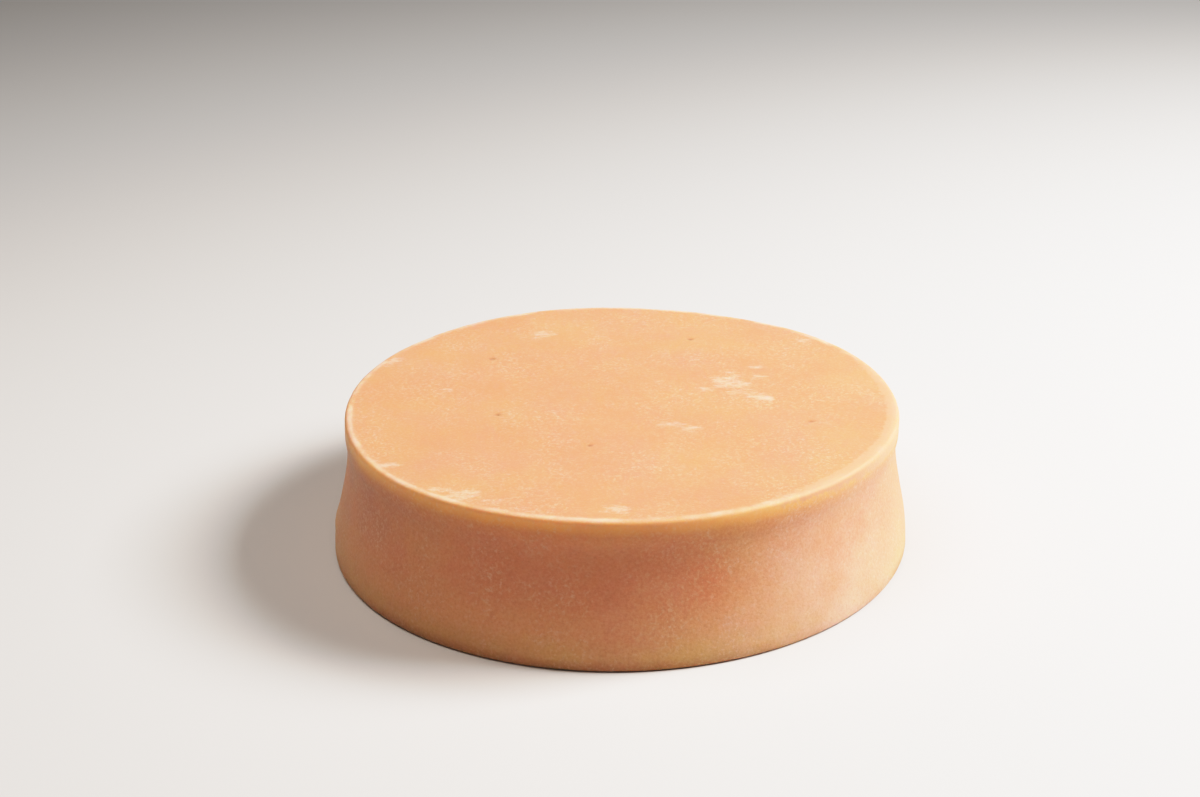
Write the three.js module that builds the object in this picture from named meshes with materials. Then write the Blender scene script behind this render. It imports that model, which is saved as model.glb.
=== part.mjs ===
// A whole wheel of mountain cheese, one solid: a flat top and base, a rounded lip round the top,
// a hollowed heel below it and a foot that has slumped wider than the top.
// Millimetres, +Z up. The origin is the centre of the base, and the front of the wheel faces -Y.
import * as THREE from "three";
import { mergeVertices } from "three/addons/utils/BufferGeometryUtils.js";

// Driving dimensions
const HEIGHT = 98;
const FOOT_RADIUS = 200; // the widest ring, just above the base
const LIP_RADIUS = 190.5;
const WAIST_RADIUS = 189; // the narrowest ring, tucked in under the lip
const FOOT_ROUND = 3; // rounding between the base and the foot
const LIP_HEIGHT = 9; // the upright face of the lip, with its top edge
const LIP_ROUND = 3.2; // rounding between the top and the lip
const WAIST_DROP = 24; // how far the waist lies below the top
const FLARE_REACH = 21; // how steeply the heel leaves the waist and meets the foot

// Unevenness of a wheel pressed and turned by hand. Angles run from the front towards +X.
const FOOT_OVAL = 2.2; // the foot bulges at the front left and the back right by this much
const LIP_LOBES = 0.9; // the lip is drawn out at the right and blunt at the left
const LIP_CORNERS = 0.8; // the lip stands out between its front, back and sides
const HEEL_HOLLOW = 1.2; // shallow hand-sized hollows and swells round the heel
const HEEL_HOLLOW_TURNS = 7;
const TOP_TILT = 0.7; // the right edge of the top stands this much above the middle
const TOP_TWIST = 0.5; // its front right and back left edges rise and the other two sink
const TOP_SWELL = 0.5; // low swells left on the top by the press board
const TOP_SWELL_LENGTH = 130;
const RIM_WAVE = 0.6; // the rim rises and falls by this much
const RIM_WAVE_TURNS = 5;
const RIM_WAVE_PEAK = THREE.MathUtils.degToRad(-20);

// A worn stretch of the rim at the front right, where the edge is rubbed down.
const WORN_ANGLE = THREE.MathUtils.degToRad(52);
const WORN_SPREAD = THREE.MathUtils.degToRad(24);
const WORN_DEPTH = 0.8;
const WORN_WIDTH = 12;

// A short ridge on the foot at the left, where the end of the hoop pressed into the heel.
const RIDGE_ANGLE = THREE.MathUtils.degToRad(-91);
const RIDGE_SPREAD = THREE.MathUtils.degToRad(13);
const RIDGE_LEVEL = 17;
const RIDGE_HALF_HEIGHT = 5;
const RIDGE_PROUD = 1.2;

// Facets
const SIDES = 96;
const TOP_RINGS = 9;
const BASE_RINGS = 3;
const CURVE_STEPS = 7;

const RIND_COLOUR = 0xdda06c;

// The half section of the wheel, from the middle of the base to the middle of the top.
function outline() {
  const waistLevel = HEIGHT - WAIST_DROP;
  const lipFoot = HEIGHT - LIP_HEIGHT;
  const baseRadius = FOOT_RADIUS - FOOT_ROUND;
  const topRadius = LIP_RADIUS - LIP_ROUND;
  const underLip = (lipFoot - waistLevel) / 2;

  const path = new THREE.Path();
  path.moveTo(0, 0);
  for (let ring = 1; ring <= BASE_RINGS; ring++) {
    path.lineTo((baseRadius * ring) / BASE_RINGS, 0);
  }
  path.quadraticCurveTo(FOOT_RADIUS, 0, FOOT_RADIUS, FOOT_ROUND);
  path.bezierCurveTo(
    FOOT_RADIUS,
    FOOT_ROUND + FLARE_REACH,
    WAIST_RADIUS,
    waistLevel - FLARE_REACH,
    WAIST_RADIUS,
    waistLevel,
  );
  path.bezierCurveTo(WAIST_RADIUS, waistLevel + underLip, LIP_RADIUS, lipFoot - underLip, LIP_RADIUS, lipFoot);
  path.lineTo(LIP_RADIUS, HEIGHT - LIP_ROUND);
  path.quadraticCurveTo(LIP_RADIUS, HEIGHT, topRadius, HEIGHT);
  for (let ring = TOP_RINGS - 1; ring >= 0; ring--) {
    path.lineTo((topRadius * ring) / TOP_RINGS, HEIGHT);
  }
  return path.getPoints(CURVE_STEPS);
}

// 1 at the middle of a bump and falling smoothly to 0 about two spreads away.
function bump(distance, spread) {
  return Math.exp(-((distance / spread) ** 2));
}

function angleBetween(a, b) {
  return Math.atan2(Math.sin(a - b), Math.cos(a - b));
}

// How far a point of the side stands out from the true circle.
function outOfRound(angle, level) {
  const up = level / HEIGHT;
  const oval = -FOOT_OVAL * (1 - up) * Math.sin(2 * angle);
  const lobes = -LIP_LOBES * up * Math.sin(3 * angle);
  const corners = -LIP_CORNERS * up * Math.cos(4 * angle);
  const hollows = HEEL_HOLLOW * up * (1 - up) * Math.cos(HEEL_HOLLOW_TURNS * angle + 4 * up);
  const ridge =
    RIDGE_PROUD *
    bump(angleBetween(angle, RIDGE_ANGLE), RIDGE_SPREAD) *
    bump(level - RIDGE_LEVEL, RIDGE_HALF_HEIGHT);
  return oval + lobes + corners + hollows + ridge;
}

// How far a point of the top half stands above its level place. The base stays flat.
function outOfLevel(radius, angle, level) {
  const up = THREE.MathUtils.smoothstep(level, HEIGHT / 2, HEIGHT);
  const out = radius / LIP_RADIUS;
  const tilt = TOP_TILT * out * Math.sin(angle);
  const twist = TOP_TWIST * out ** 2 * Math.sin(2 * angle);
  const rim = RIM_WAVE * out ** 4 * Math.cos(RIM_WAVE_TURNS * (angle - RIM_WAVE_PEAK));
  const x = radius * Math.sin(angle);
  const y = -radius * Math.cos(angle);
  const swell =
    TOP_SWELL *
    Math.sin((2 * Math.PI * x) / TOP_SWELL_LENGTH + 1) *
    Math.sin((2 * Math.PI * y) / TOP_SWELL_LENGTH) *
    (1 - out ** 4);
  const worn =
    WORN_DEPTH *
    bump(angleBetween(angle, WORN_ANGLE), WORN_SPREAD) *
    THREE.MathUtils.smoothstep(radius, LIP_RADIUS - WORN_WIDTH, LIP_RADIUS);
  return up * (tilt + twist + rim + swell - worn);
}

// Moves the points of the turned wheel to where a handmade one has them.
function makeUneven(geometry) {
  const position = geometry.getAttribute("position");
  for (let i = 0; i < position.count; i++) {
    const radius = Math.hypot(position.getX(i), position.getY(i));
    const angle = Math.atan2(position.getX(i), -position.getY(i));
    const level = position.getZ(i);
    const share = THREE.MathUtils.smoothstep(radius, LIP_RADIUS / 2, LIP_RADIUS);
    const uneven = radius + share * outOfRound(angle, level);
    position.setXYZ(
      i,
      uneven * Math.sin(angle),
      -uneven * Math.cos(angle),
      level + outOfLevel(radius, angle, level),
    );
  }
}

// Centres the base on the origin again, since the unevenness moves the outline a little.
function centre(geometry) {
  geometry.computeBoundingBox();
  const middle = geometry.boundingBox.getCenter(new THREE.Vector3());
  geometry.translate(-middle.x, -middle.y, 0);
}

function wheelGeometry() {
  const turned = new THREE.LatheGeometry(outline(), SIDES).rotateX(Math.PI / 2);
  turned.deleteAttribute("normal");
  turned.deleteAttribute("uv");
  makeUneven(turned);
  centre(turned);
  const closed = mergeVertices(turned, 1e-3);
  closed.computeVertexNormals();
  return closed;
}

const rind = new THREE.MeshStandardMaterial({ color: RIND_COLOUR, roughness: 0.7, metalness: 0 });
const wheel = new THREE.Mesh(wheelGeometry(), rind);
wheel.name = "cheese_wheel";

const part = new THREE.Group();
part.add(wheel);

export default part;
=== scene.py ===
"""The looks of a whole wheel of mountain cheese with a washed and brushed rind, on a pale studio floor."""

import math

import bmesh
import bpy
import numpy as np
from mathutils import Matrix, Vector, geometry, noise


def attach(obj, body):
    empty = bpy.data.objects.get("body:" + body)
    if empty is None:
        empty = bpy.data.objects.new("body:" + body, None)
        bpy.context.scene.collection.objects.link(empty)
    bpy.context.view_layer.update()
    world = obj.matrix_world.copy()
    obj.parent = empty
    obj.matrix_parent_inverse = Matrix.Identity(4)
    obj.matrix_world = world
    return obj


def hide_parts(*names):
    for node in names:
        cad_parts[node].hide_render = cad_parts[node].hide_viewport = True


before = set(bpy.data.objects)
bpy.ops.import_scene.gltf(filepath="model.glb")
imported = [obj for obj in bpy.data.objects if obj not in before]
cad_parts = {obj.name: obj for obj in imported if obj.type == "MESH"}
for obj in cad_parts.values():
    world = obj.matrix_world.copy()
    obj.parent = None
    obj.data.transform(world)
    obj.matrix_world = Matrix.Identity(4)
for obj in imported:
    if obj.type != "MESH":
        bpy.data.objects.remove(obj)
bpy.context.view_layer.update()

MM = 0.001

# Driving sizes of the wheel in millimetres, the same as those of the solid that it stands for
HEIGHT = 98
FOOT_RADIUS = 200
LIP_RADIUS = 190.5
WAIST_RADIUS = 189
FOOT_ROUND = 3
LIP_HEIGHT = 9
LIP_ROUND = 3.2
WAIST_DROP = 24
FLARE_REACH = 21
TOP_RADIUS = LIP_RADIUS - LIP_ROUND
BASE_RADIUS = FOOT_RADIUS - FOOT_ROUND

# Unevenness of a wheel pressed and turned by hand. Angles run from the front towards +X.
FOOT_OVAL = 2.2
LIP_LOBES = 0.9
LIP_CORNERS = 0.8
HEEL_HOLLOW = 1.2
HEEL_HOLLOW_TURNS = 7
HEEL_HOLLOW_SLANT = 4
TOP_TILT = 0.7
TOP_TWIST = 0.5
TOP_SWELL = 0.5
TOP_SWELL_LENGTH = 130
TOP_SWELL_SHIFT = 1
RIM_WAVE = 0.6
RIM_WAVE_TURNS = 5
RIM_WAVE_PEAK = math.radians(-20)
WORN_ANGLE = math.radians(52)
WORN_SPREAD = math.radians(24)
WORN_DEPTH = 0.8
WORN_WIDTH = 12
RIDGE_ANGLE = math.radians(-91)
RIDGE_SPREAD = math.radians(13)
RIDGE_LEVEL = 17
RIDGE_HALF_HEIGHT = 5
RIDGE_PROUD = 1.2

# Fineness of the mesh
TOP_GRID = 200
LIP_EDGE_RINGS = 6
LIP_FACE_RINGS = 4
UNDER_LIP_RINGS = 8
HEEL_RINGS = 36
FOOT_EDGE_RINGS = 5
BASE_RINGS = 4

# Fine relief of the rind: how proud it stands and how long its lumps are along x, y and z. Each
# noise has a shift of its own, so that no two of them lie alike.
LUMPS_PROUD = 0.25
LUMPS_SIZE = (34, 34, 20)
LUMPS_SHIFT = 3
DIMPLES_PROUD = 0.1
DIMPLES_SIZE = (10, 10, 6)
DIMPLES_SHIFT = 17
BRUSHING_PROUD = 0.08
BRUSHING_SIZE = (48, 7, 20)
BRUSHING_SHIFT = 29
NICKS_DEEP = 0.35
NICKS_SIZE = (13, 13, 13)
NICKS_SHIFT = 41
NICKS_WIDTH = 5
NICKS_UNWORN = 0.4  # the share of their depth that the nicks have all round the rim
RELIEF_FADE = FOOT_ROUND + 2  # the relief fades out below this height

# Places on the top where white bloom dusts the rind: x, y and reach in millimetres
BLOOM_DABS = (
    (76, 32, 27),
    (100, 4, 12),
    (46, -50, 16),
    (-101, -149, 18),
    (-80, -160, 12),
    (0, -173, 12),
    (-167, 76, 15),
    (-153, -102, 14),
    (137, 114, 12),
    (-60, 130, 14),
    (-120, 20, 11),
)
BLOOM_STRETCH = 1.3  # the brush draws the dabs out along x
BLOOM_RAGGED = 0.9  # how far their outlines wander
BLOOM_RAGGED_SIZE = (15, 10, 15)
BLOOM_RAGGED_SHIFT = 53

# Pits in the top: x, y and radius in millimetres. The dark colour laid in them is painted shade.
PITS = (
    (-93, 81, 2.2),
    (-83, -23, 1.8),
    (52, 118, 2),
    (128, -38, 1.6),
    (-20, -76, 1.5),
)
PIT_DEEP = 0.8

# Powdery bloom on the heel, partly real and partly painted sheen and light where the key light falls on its
# right, thickest at this angle and towards the foot
POWDER_AND_SHEEN_ANGLE = math.radians(44)
POWDER_AND_SHEEN_SPREAD = math.radians(21)
POWDER_AND_SHEEN_AT_BASE = 1.3

# A greyish film on the heel, partly the rind's own tint and partly painted shade on the left, away from the
# key light, thickest at this angle and towards the lip
FILM_AND_SHADE_ANGLE = math.radians(-72)
FILM_AND_SHADE_SPREAD = math.radians(34)

# Redder patches on the heel: angle, height and reach in millimetres
FLUSHES = (
    (math.radians(17), 52, 20),
    (math.radians(47), 47, 20),
    (math.radians(150), 50, 22),
    (math.radians(-140), 40, 18),
)
HEEL_BLEND = 25  # the marks of the heel come in over this much of the skin, from the rim down

# Where the lip is rubbed: from the top inwards of the rim, down to the face of the lip, and on a
# longer stretch beyond the worn rim, on the right where the key light falls, where the amber is
# partly rubbed off and partly painted paler, a painted highlight
RUB_START = TOP_RADIUS - WORN_WIDTH / 2
RUB_BLEND = 3
RUB_FADE = 4
RUB_END = 9
BARE_AND_HIGHLIGHT_ANGLE = math.radians(80)
BARE_AND_HIGHLIGHT_SPREAD = math.radians(46)
BARE_AND_HIGHLIGHT_WIDTH = 14

# Colours along the skin, by millimetres beyond the rim of the top
ZONES = (
    (-TOP_RADIUS, "#dc9870"),
    (-3, "#dd9970"),
    (1.5, "#e6aa7e"),
    (4.5, "#fbc181"),
    (8, "#f7b570"),
    (12, "#e39d6d"),
    (20, "#dc9771"),
    (50, "#dc9974"),
    (78, "#e1a77c"),
    (92, "#dbad79"),
    # The darker brown where the foot turns under towards the floor is mostly painted shade
    (101, "#b07b4b"),
    (130, "#d49b6f"),
)
ZONE_WANDER = 1.5  # how far their edges wander

# Bands of the skin that carry a coat where they are white: the very edge of the lip, where cream dust and a
# painted highlight lie, and the waist
EDGE_DUST_AND_HIGHLIGHT = (
    (-3, "#000000"),
    (-0.8, "#ffffff"),
    (0.8, "#ffffff"),
    (2.5, "#000000"),
)
WAIST_BAND = (
    (6, "#000000"),
    (16, "#ffffff"),
    (62, "#ffffff"),
    (88, "#000000"),
)
HEEL_START = 6
HEEL_FULL = 16
TOP_FULL = -4
TOP_END = 2

# Noise on the rind: how it is laid, the size of its lumps in millimetres, its detail and its
# roughness. The speckle, the flecks and the grain are finer in life, and are drawn about two
# millimetres wide to show.
DRAWN_OUT = (
    ("along brush", (0.5, 1, 1)),
    ("round heel", (0.4, 0.4, 1)),
)
PATTERNS = (
    ("wander", "even", 14, 2, 0.5),
    ("pink", "even", 60, 3, 0.55),
    ("straw", "even", 85, 2, 0.5),
    ("smear", "round heel", 24, 3, 0.55),
    ("dust", "even", 36, 4, 0.6),
    ("speckle", "even", 2.2, 2, 0.65),
    ("flecks", "along brush", 1.8, 3, 0.65),
    ("scuffs", "round heel", 3, 4, 0.7),
    ("broken", "along brush", 5, 6, 0.8),
    ("edge", "even", 22, 2, 0.5),
    ("rubbed", "even", 6, 4, 0.65),
    ("grain", "even", 1.8, 3, 0.7),
)
DUST_THIN = 0.34
DUST_THICK = 0.66

# Dabs and rubbed places with ragged edges, where a mark lifts a noise past the level that shows:
# the mark, how far it lifts, and the noise
LIFTED = (
    ("dabs", "bloom", 0.57, "broken"),
    # The rubbed places include a painted highlight on the lit right of the lip
    ("rubs_and_highlight", "worn", 0.7, "rubbed"),
)

# Coats over the zones: where each lies, the noise that breaks it up, from where to where that
# noise counts, how thickly it lies at most, and its colour
COATS = (
    ("all", "straw", 0.46, 0.72, 0.4, "#e0a873"),
    ("all", "pink", 0.44, 0.7, 0.4, "#da967c"),
    ("waist", "smear", 0.46, 0.74, 0.28, "#cd7d58"),
    ("heel", "scuffs", 0.56, 0.7, 0.22, "#e3bb9c"),
    ("flush", "dust", 0.2, 0.6, 0.55, "#de8056"),
    # The greyish coat is partly the rind's own tint and partly painted shade on the left of the heel
    ("film_and_shade", "dust", 0.2, 0.6, 0.7, "#b88d7c"),
    # The pale powdery coat is partly real bloom and partly painted sheen and light on the lit right of the
    # heel
    ("powder_and_sheen", "dust", 0.2, 0.7, 0.75, "#efc6ae"),
    ("dusted top", "flecks", 0.55, 0.68, 0.4, "#edc59d"),
    ("dusted", "speckle", 0.52, 0.68, 0.45, "#eacbb0"),
    ("all", "grain", 0.5, 0.72, 0.17, "#f0d0b4"),
    ("heel", "grain", 0.5, 0.28, 0.2, "#a9683f"),
    ("all", "dabs", 0.94, 1.14, 0.5, "#f6d8c6"),
    # The cream coat on the edge of the lip is partly dust and partly a painted highlight
    ("edge", "edge", 0.35, 0.62, 0.7, "#f5d0b8"),
    # The pale rubbed coat is partly real wear and partly a painted highlight on the lit right of the lip
    ("all", "rubs_and_highlight", 0.78, 1, 0.85, "#e5a986"),
    # The dark coat in the pits is painted shade
    ("pit", "grain", 0.2, 0.5, 0.8, "#8c5b3e"),
)

# Gloss and grain of the rind
WAXY_ROUGHNESS = 0.5
DRY_ROUGHNESS = 0.68
GRAIN_DEEP = 0.25
GLOW_REACH = 7  # how far light spreads under the rind

# The camera stands in front of the wheel and above it, and looks just over its middle
CAMERA_DISTANCE = 1.364
CAMERA_ELEVATION = math.radians(24.54)
CAMERA_LOOK_DOWN = math.radians(22.58)
CAMERA_TURN = math.radians(0.65)
CAMERA_ROLL = math.radians(-0.42)
CAMERA_LENS = 58.5
SENSOR_WIDTH = 36

# Studio light
KEY_DIRECTION = math.radians(96)
KEY_ELEVATION = math.radians(43.5)
KEY_DISTANCE = 2.25
KEY_SIZE = 1
KEY_POWER = 83
CARD_DIRECTION = math.radians(-70)
CARD_ELEVATION = math.radians(71)
CARD_DISTANCE = 1.5
CARD_SIZE = 1
CARD_POWER = 11.5
FILL_STRENGTH = 0.108
FLOOR_HALF = 6

# The camera's tone curve: deep in the shadows, with a soft shoulder up to this much light
TONE_WHITE = 1.8
TONE_POINTS = (
    (0.056, 0.068),
    (0.167, 0.288),
    (0.278, 0.5),
    (0.5, 0.822),
    (0.7, 0.935),
)
ALL_CHANNELS = 3  # the tone curve that bends red, green and blue together


def smoothstep(value, low, high):
    share = np.clip((value - low) / (high - low), 0, 1)
    return share * share * (3 - 2 * share)


def bump(distance, spread):
    """1 at the middle of a bump and falling smoothly to 0 about two spreads away."""
    return np.exp(-((distance / spread) ** 2))


def turn_between(a, b):
    return np.arctan2(np.sin(a - b), np.cos(a - b))


def round_about(angle, middle, spread):
    """1 at the middle angle and falling smoothly to 0 on both sides of it."""
    return bump(turn_between(angle, middle), spread)


def curve(start, first, second, end, steps):
    """Points that follow start, leaving it towards first and coming to end from second."""
    return geometry.interpolate_bezier(start, first, second, end, steps + 1)[1:]


def straight(start, end, steps):
    return curve(start, start.lerp(end, 1 / 3), start.lerp(end, 2 / 3), end, steps)


def rounding(start, corner, end, steps):
    return curve(start, start.lerp(corner, 2 / 3), end.lerp(corner, 2 / 3), end, steps)


def skin_line():
    """The half section from the rim of the top, over the lip, down the heel and in along the base."""
    rim = Vector((TOP_RADIUS, HEIGHT))
    lip_top = Vector((LIP_RADIUS, HEIGHT - LIP_ROUND))
    lip_foot = Vector((LIP_RADIUS, HEIGHT - LIP_HEIGHT))
    waist = Vector((WAIST_RADIUS, HEIGHT - WAIST_DROP))
    foot = Vector((FOOT_RADIUS, FOOT_ROUND))
    base = Vector((BASE_RADIUS, 0))
    under_lip = Vector((0, (lip_foot.y - waist.y) / 2))
    flare = Vector((0, FLARE_REACH))

    line = [rim]
    line += rounding(rim, Vector((LIP_RADIUS, HEIGHT)), lip_top, LIP_EDGE_RINGS)
    line += straight(lip_top, lip_foot, LIP_FACE_RINGS)
    line += curve(lip_foot, lip_foot - under_lip, waist + under_lip, waist, UNDER_LIP_RINGS)
    line += curve(waist, waist - flare, foot + flare, foot, HEEL_RINGS)
    line += rounding(foot, Vector((FOOT_RADIUS, 0)), base, FOOT_EDGE_RINGS)
    line += straight(base, Vector((0, 0)), BASE_RINGS)
    return line


def on_disc(x, y):
    """The place on a round disc of a point of a square, with the grid's rows kept even."""
    if abs(x) > abs(y):
        return x, math.pi / 4 * y / x
    if y == 0:
        return 0, 0
    return y, math.pi / 2 - math.pi / 4 * x / y


def turned_wheel(line):
    """A true wheel: a round top made from a grid, with rings drawn down its side and in under its base.

    Each point keeps its run, its distance from the middle of the top along the skin.
    """
    shell = bmesh.new()
    run = shell.verts.layers.float.new("run")
    bmesh.ops.create_grid(shell, x_segments=TOP_GRID, y_segments=TOP_GRID, size=1)
    for vert in shell.verts:
        out, turn = on_disc(vert.co.x, vert.co.y)
        vert.co = (out * TOP_RADIUS * math.cos(turn), out * TOP_RADIUS * math.sin(turn), HEIGHT)
        vert[run] = abs(out) * TOP_RADIUS

    edges = [edge for edge in shell.edges if edge.is_boundary]
    gone = TOP_RADIUS
    for before, after in zip(line, line[1:]):
        gone += (after - before).length
        drawn = bmesh.ops.extrude_edge_only(shell, edges=edges)["geom"]
        ring = [item for item in drawn if isinstance(item, bmesh.types.BMVert)]
        edges = [item for item in drawn if isinstance(item, bmesh.types.BMEdge) and item.is_boundary]
        for vert in ring:
            side = vert.co.xy.normalized() * after.x
            vert.co = (side.x, side.y, after.y)
            vert[run] = gone
    bmesh.ops.pointmerge(shell, verts=ring, merge_co=(0, 0, 0))
    bmesh.ops.recalc_face_normals(shell, faces=shell.faces)

    mesh = bpy.data.meshes.new("wheel_rind")
    shell.to_mesh(mesh)
    shell.free()
    mesh.shade_smooth()
    return mesh


def out_of_round(angle, level):
    """How far a point of the side stands out from the true circle."""
    up = level / HEIGHT
    oval = -FOOT_OVAL * (1 - up) * np.sin(2 * angle)
    lobes = -LIP_LOBES * up * np.sin(3 * angle)
    corners = -LIP_CORNERS * up * np.cos(4 * angle)
    hollows = HEEL_HOLLOW * up * (1 - up) * np.cos(HEEL_HOLLOW_TURNS * angle + HEEL_HOLLOW_SLANT * up)
    ridge_along = round_about(angle, RIDGE_ANGLE, RIDGE_SPREAD)
    ridge = RIDGE_PROUD * ridge_along * bump(level - RIDGE_LEVEL, RIDGE_HALF_HEIGHT)
    return oval + lobes + corners + hollows + ridge


def out_of_level(radius, angle, level):
    """How far a point of the top half stands above its level place. The base stays flat."""
    up = smoothstep(level, HEIGHT / 2, HEIGHT)
    out = radius / LIP_RADIUS
    tilt = TOP_TILT * out * np.sin(angle)
    twist = TOP_TWIST * out**2 * np.sin(2 * angle)
    rim = RIM_WAVE * out**4 * np.cos(RIM_WAVE_TURNS * (angle - RIM_WAVE_PEAK))
    along = 2 * math.pi * radius * np.sin(angle) / TOP_SWELL_LENGTH
    across = -2 * math.pi * radius * np.cos(angle) / TOP_SWELL_LENGTH
    swell = TOP_SWELL * np.sin(along + TOP_SWELL_SHIFT) * np.sin(across) * (1 - out**4)
    worn = round_about(angle, WORN_ANGLE, WORN_SPREAD)
    worn = WORN_DEPTH * worn * smoothstep(radius, LIP_RADIUS - WORN_WIDTH, LIP_RADIUS)
    return up * (tilt + twist + rim + swell - worn)


def made_uneven(places):
    """Where the points of the true wheel lie on the uneven one, with the base centred again."""
    radius = np.hypot(places[:, 0], places[:, 1])
    angle = np.arctan2(places[:, 0], -places[:, 1])
    level = places[:, 2]
    uneven = radius + smoothstep(radius, LIP_RADIUS / 2, LIP_RADIUS) * out_of_round(angle, level)
    lifted = level + out_of_level(radius, angle, level)
    moved = np.stack([uneven * np.sin(angle), -uneven * np.cos(angle), lifted], axis=1)
    middle = (moved.max(0) + moved.min(0)) / 2
    return moved - middle * (1, 1, 0)


def noise_over(places, size, shift):
    """Smooth noise from about -1 to 1 at each place, with lumps of this size along x, y and z."""
    scaled = places / np.array(size) + shift
    return np.array([noise.noise(place) for place in scaled])


def share_of_top(run):
    return 1 - smoothstep(run, TOP_RADIUS - LIP_ROUND, TOP_RADIUS + LIP_ROUND)


def pitted(places, run):
    """How deep in a pit each point lies, from 0 to 1."""
    pits = sum(bump(np.hypot(places[:, 0] - x, places[:, 1] - y), reach) for x, y, reach in PITS)
    return pits * share_of_top(run)


def fine_relief(places, angle, level, run, pit):
    """How far each point stands out of the skin. It fades out at the foot, so the base stays flat."""
    edge = bump(run - TOP_RADIUS - LIP_ROUND / 2, NICKS_WIDTH)
    worn = round_about(angle, WORN_ANGLE, WORN_SPREAD)
    nicks = np.clip(noise_over(places, NICKS_SIZE, NICKS_SHIFT), 0, None)
    relief = LUMPS_PROUD * noise_over(places, LUMPS_SIZE, LUMPS_SHIFT)
    relief += DIMPLES_PROUD * noise_over(places, DIMPLES_SIZE, DIMPLES_SHIFT)
    relief += BRUSHING_PROUD * share_of_top(run) * noise_over(places, BRUSHING_SIZE, BRUSHING_SHIFT)
    relief -= NICKS_DEEP * edge * nicks * (NICKS_UNWORN + worn)
    relief -= PIT_DEEP * pit
    return relief * smoothstep(level, 0, RELIEF_FADE)


def rind_marks_and_painted_light(places, angle, level, run):
    """How strongly the bloom, the rubbing and the coats of the heel lie on each point, with the painted
    highlight on the lit right of the lip, the painted sheen on the lit right of the heel and the painted
    shade on its left.
    """
    ragged = 1 + BLOOM_RAGGED * noise_over(places, BLOOM_RAGGED_SIZE, BLOOM_RAGGED_SHIFT)
    bloom = np.zeros(len(places))
    for x, y, reach in BLOOM_DABS:
        away = np.hypot((places[:, 0] - x) / BLOOM_STRETCH, places[:, 1] - y)
        bloom = np.maximum(bloom, bump(away * ragged, reach) * share_of_top(run))

    worn = round_about(angle, WORN_ANGLE, WORN_SPREAD)
    worn *= 1 - smoothstep(run, TOP_RADIUS + RUB_FADE, TOP_RADIUS + RUB_END)
    # Painted highlight: the lip made paler where the key light falls on its right
    bare_and_highlight = round_about(angle, BARE_AND_HIGHLIGHT_ANGLE, BARE_AND_HIGHLIGHT_SPREAD)
    bare_and_highlight *= 1 - smoothstep(run, TOP_RADIUS + BARE_AND_HIGHLIGHT_WIDTH / 2, TOP_RADIUS + BARE_AND_HIGHLIGHT_WIDTH)
    near_rim = smoothstep(run, RUB_START - RUB_BLEND, RUB_START + RUB_BLEND)

    on_heel = smoothstep(run, TOP_RADIUS, TOP_RADIUS + HEEL_BLEND)
    # Partly painted sheen and light on the lit right of the heel
    powder_and_sheen = round_about(angle, POWDER_AND_SHEEN_ANGLE, POWDER_AND_SHEEN_SPREAD)
    # Partly painted shade on the left of the heel, away from the key light
    film_and_shade = round_about(angle, FILM_AND_SHADE_ANGLE, FILM_AND_SHADE_SPREAD)
    flush = np.zeros(len(places))
    for turn, up, reach in FLUSHES:
        away = np.hypot(WAIST_RADIUS * turn_between(angle, turn), level - up)
        flush = np.maximum(flush, bump(away, reach) * on_heel)

    return {
        "bloom": bloom,
        "worn": np.maximum(worn, bare_and_highlight) * near_rim,
        "powder_and_sheen": powder_and_sheen * on_heel * (POWDER_AND_SHEEN_AT_BASE - level / HEIGHT),
        "film_and_shade": film_and_shade * on_heel * level / HEIGHT,
        "flush": flush,
    }


def read_points(items, name, width):
    values = np.empty(len(items) * width, np.float32)
    items.foreach_get(name, values)
    return values.reshape(-1, width).astype(float)


def keep_on_points(mesh, name, values):
    attribute = mesh.attributes.new(name, "FLOAT", "POINT")
    attribute.data.foreach_set("value", values.astype(np.float32))


def place_points(mesh, places):
    mesh.vertices.foreach_set("co", places.astype(np.float32).ravel())
    mesh.update()


def wheel_rind():
    """The wheel as it came from the press and the cellar, uneven, brushed and a little worn."""
    mesh = turned_wheel(skin_line())
    places = read_points(mesh.vertices, "co", 3)
    run = read_points(mesh.attributes["run"].data, "value", 1)[:, 0]
    angle = np.arctan2(places[:, 0], -places[:, 1])
    level = places[:, 2]

    places = made_uneven(places)
    place_points(mesh, places)
    facing = read_points(mesh.vertex_normals, "vector", 3)
    pit = pitted(places, run)
    places += facing * fine_relief(places, angle, level, run, pit)[:, None]

    keep_on_points(mesh, "pit", pit)
    for name, strength in rind_marks_and_painted_light(places, angle, level, run).items():
        keep_on_points(mesh, name, strength)
    place_points(mesh, places * MM)
    return mesh


def linear(hex_colour):
    """An sRGB hex colour as linear red, green, blue and alpha."""
    channels = [int(hex_colour[i : i + 2], 16) / 255 for i in (1, 3, 5)]
    return [c / 12.92 if c <= 0.04045 else ((c + 0.055) / 1.055) ** 2.4 for c in channels] + [1]


def per_size(millimetres):
    """The texture scale that gives features of this size."""
    return 1 / (millimetres * MM)


def add(tree, kind, inputs=(), out=0, stops=(), **settings):
    """Adds a node with its settings, its values and its links, and returns the output asked for."""
    node = tree.nodes.new(kind)
    for name, value in settings.items():
        setattr(node, name, value)
    for name, value in dict(inputs).items():
        socket = next(s for s in node.inputs if name in (s.identifier, s.name))
        if isinstance(value, bpy.types.NodeSocket):
            tree.links.new(value, socket)
        else:
            socket.default_value = value
    for index, (place, colour) in enumerate(stops):
        if index < 2:
            stop = node.color_ramp.elements[index]
            stop.position = place
        else:
            stop = node.color_ramp.elements.new(place)
        stop.color = linear(colour)
    return next((s for i, s in enumerate(node.outputs) if out in (i, s.identifier, s.name)), None)


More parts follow.
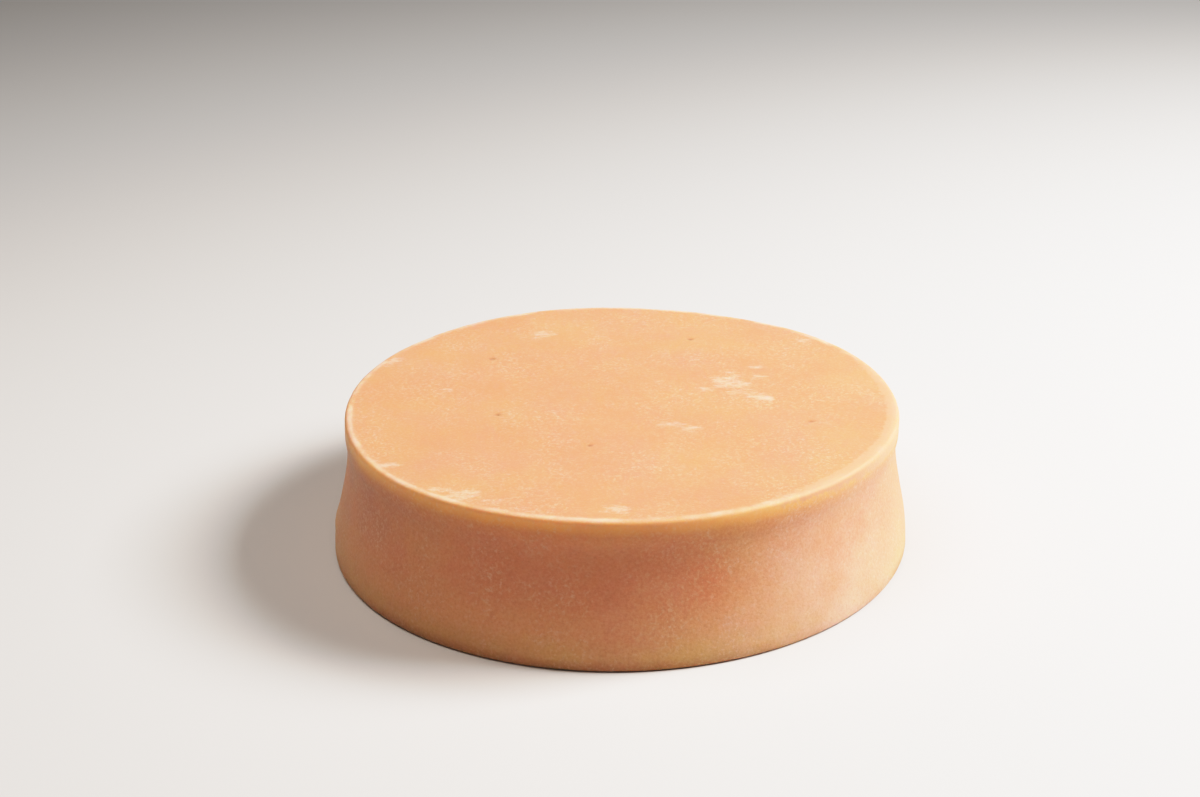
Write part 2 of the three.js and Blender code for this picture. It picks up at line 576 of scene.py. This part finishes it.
def rind_patterns(tree, marks):
    """The noises that break up the coats of the rind, by name."""
    place = add(tree, "ShaderNodeTexCoord", out="Object")
    laid = {"even": place}
    for way, scale in DRAWN_OUT:
        laid[way] = add(tree, "ShaderNodeMapping", {"Vector": place, "Scale": scale})
    patterns = {}
    for name, way, size, detail, rough in PATTERNS:
        values = {"Vector": laid[way], "Scale": per_size(size), "Detail": detail, "Roughness": rough}
        patterns[name] = add(tree, "ShaderNodeTexNoise", values)
    for name, mark, lift, broken_by in LIFTED:
        values = {"Value": marks[mark], "Value_001": lift, "Value_002": patterns[broken_by]}
        patterns[name] = add(tree, "ShaderNodeMath", values, operation="MULTIPLY_ADD")
    return patterns


def skin_bands(tree, marks, patterns, line):
    """The colours of the zones, the edge of the lip and the waist, all with wandering limits."""
    skin_length = TOP_RADIUS + sum((b - a).length for a, b in zip(line, line[1:]))
    values = {"Value": patterns["wander"], "To Min": -ZONE_WANDER, "To Max": ZONE_WANDER}
    wander = add(tree, "ShaderNodeMapRange", values, clamp=False)
    run = add(tree, "ShaderNodeMath", {"Value": marks["run"], "Value_001": wander}, operation="ADD")
    share = add(tree, "ShaderNodeMath", {"Value": run, "Value_001": skin_length}, operation="DIVIDE")
    bands = []
    for band in (ZONES, EDGE_DUST_AND_HIGHLIGHT, WAIST_BAND):
        stops = [((TOP_RADIUS + beyond) / skin_length, shade) for beyond, shade in band]
        bands.append(add(tree, "ShaderNodeValToRGB", {"Fac": share}, stops=stops))
    return bands


def rind_colour(tree, marks, patterns, line):
    """The zones of the skin with the coats laid over them, one after another."""
    colour, on_edge_dust_and_highlight, on_waist = skin_bands(tree, marks, patterns, line)
    heel = {"Value": marks["run"], "From Min": TOP_RADIUS + HEEL_START, "From Max": TOP_RADIUS + HEEL_FULL}
    top = {"Value": marks["run"], "From Min": TOP_RADIUS + TOP_END, "From Max": TOP_RADIUS + TOP_FULL}
    dust = {"Value": patterns["dust"], "From Min": DUST_THIN, "From Max": DUST_THICK}
    on_heel, on_top, dusted = [add(tree, "ShaderNodeMapRange", values) for values in (heel, top, dust)]
    dusted_top = add(tree, "ShaderNodeMath", {"Value": on_top, "Value_001": dusted}, operation="MULTIPLY")
    lies_on = {
        **marks,
        "all": 1,
        "edge": on_edge_dust_and_highlight,
        "waist": on_waist,
        "heel": on_heel,
        "dusted": dusted,
        "dusted top": dusted_top,
    }
    for where, pattern, low, high, most, shade in COATS:
        values = {"Value": patterns[pattern], "From Min": low, "From Max": high, "To Max": most}
        values = {"Value": add(tree, "ShaderNodeMapRange", values), "Value_001": lies_on[where]}
        share = add(tree, "ShaderNodeMath", values, operation="MULTIPLY")
        values ={"Factor_Float": share, "A_Color": colour, "B_Color": linear(shade)}
        colour = add(tree, "ShaderNodeMix", values, out="Result_Color", data_type="RGBA")
    return colour


def washed_rind(line):
    """Washed rind: brine and a brush leave a dry sandy top, a waxy amber lip and a salmon heel.

    Pale bloom and a fine speckle lie on it, flecks lie along the brush strokes on the top, and the
    lip is dusted cream at its edge, where a painted highlight lies too, and rubbed pale where hands and
    boards have worn it, and painted paler still on its right where the key light falls. The pale powdery
    coat on the right of the heel is partly painted sheen, the greyish coat on its left is partly painted
    shade, and the pits and the bottom of the foot are darkened with painted shade. It is dry and dull
    on the whole, a little waxy between the flecks, and lets light in a little.
    """
    material = bpy.data.materials.new("washed_rind")
    material.use_nodes = True
    tree = material.node_tree
    tree.nodes.clear()
    marks = {
        name: add(tree, "ShaderNodeAttribute", attribute_name=name, out="Fac")
        for name in ("run", "pit", "bloom", "worn", "powder_and_sheen", "film_and_shade", "flush")
    }
    patterns = rind_patterns(tree, marks)
    colour = rind_colour(tree, marks, patterns, line)

    gloss = {"From Min": 0.3, "From Max": 0.7, "To Min": WAXY_ROUGHNESS, "To Max": DRY_ROUGHNESS}
    roughness = add(tree, "ShaderNodeMapRange", {"Value": patterns["flecks"], **gloss})
    grain = {"Value": patterns["grain"], "Value_001": patterns["flecks"]}
    height = add(tree, "ShaderNodeMath", grain, operation="ADD")
    facing = add(tree, "ShaderNodeBump", {"Height": height, "Distance": GRAIN_DEEP * MM, "Strength": 0.6})
    surface = add(
        tree,
        "ShaderNodeBsdfPrincipled",
        {
            "Base Color": colour,
            "Roughness": roughness,
            "Normal": facing,
            "IOR": 1.45,
            "Specular IOR Level": 0.45,
            "Subsurface Weight": 0.6,
            "Subsurface Radius": (1, 0.4, 0.15),
            "Subsurface Scale": GLOW_REACH * MM,
            "Sheen Weight": 0.15,
            "Sheen Roughness": 0.4,
            "Sheen Tint": linear("#fff1e4"),
        },
    )
    add(tree, "ShaderNodeOutputMaterial", {"Surface": surface}, out=None)
    return material


def studio_floor():
    """Pale matt paper that runs on past the picture."""
    sheet = bmesh.new()
    bmesh.ops.create_grid(sheet, x_segments=1, y_segments=1, size=FLOOR_HALF)
    mesh = bpy.data.meshes.new("studio_floor")
    sheet.to_mesh(mesh)
    sheet.free()
    material = bpy.data.materials.new("matt_paper")
    material.use_nodes = True
    paper = material.node_tree.nodes["Principled BSDF"]
    paper.inputs["Base Color"].default_value = linear("#d6d4d2")
    paper.inputs["Roughness"].default_value = 0.9
    paper.inputs["Specular IOR Level"].default_value = 0.2
    mesh.materials.append(material)
    return show("studio_floor", mesh)


def show(name, data):
    shown = bpy.data.objects.new(name, data)
    bpy.context.scene.collection.objects.link(shown)
    return shown


def spherical(distance, direction, elevation):
    """A point at this distance, turned from the front towards +X and raised."""
    flat = distance * math.cos(elevation)
    return Vector((flat * math.sin(direction), -flat * math.cos(direction), distance * math.sin(elevation)))


def soft_lamp(name, colour, power, size, aim, away):
    """A square lamp that stands away from the point it is aimed at."""
    light = bpy.data.lights.new(name, "AREA")
    light.color = linear(colour)[:3]
    light.size = size
    light.energy = power
    turn = away.to_track_quat("Z", "Y").to_matrix().to_4x4()
    show(name, light).matrix_world = Matrix.Translation(aim + away) @ turn


def studio():
    """The camera, the lamps, the even fill and the tone curve."""
    scene = bpy.context.scene
    aim = Vector((0, 0, HEIGHT / 2 * MM))

    camera = bpy.data.cameras.new("camera")
    camera.lens = CAMERA_LENS
    camera.sensor_width = SENSOR_WIDTH
    holder = show("camera", camera)
    stand = Matrix.Translation(aim + spherical(CAMERA_DISTANCE, 0, CAMERA_ELEVATION))
    tilt = Matrix.Rotation(math.pi / 2 - CAMERA_LOOK_DOWN, 4, "X")
    turn = Matrix.Rotation(CAMERA_TURN, 4, "Z")
    holder.matrix_world = stand @ turn @ tilt @ Matrix.Rotation(CAMERA_ROLL, 4, "Z")
    scene.camera = holder

    key_away = spherical(KEY_DISTANCE, KEY_DIRECTION, KEY_ELEVATION)
    card_away = spherical(CARD_DISTANCE, CARD_DIRECTION, CARD_ELEVATION)
    soft_lamp("key", "#ffffff", KEY_POWER, KEY_SIZE, aim, key_away)
    soft_lamp("card", "#fff6ee", CARD_POWER, CARD_SIZE, aim, card_away)

    scene.world = bpy.data.worlds.new("studio")
    scene.world.use_nodes = True
    fill = scene.world.node_tree.nodes["Background"]
    fill.inputs["Color"].default_value = linear("#fff0e2")
    fill.inputs["Strength"].default_value = FILL_STRENGTH
    scene.view_settings.view_transform = "Standard"
    scene.view_settings.look = "None"
    scene.view_settings.use_curve_mapping = True
    tone = scene.view_settings.curve_mapping
    tone.white_level = (TONE_WHITE, TONE_WHITE, TONE_WHITE)
    for light, shown in TONE_POINTS:
        tone.curves[ALL_CHANNELS].points.new(light, shown)
    tone.update()


rind = show("wheel_rind", wheel_rind())
rind.data.materials.append(washed_rind(skin_line()))
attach(rind, "root")
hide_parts("cheese_wheel")
studio_floor()
studio()
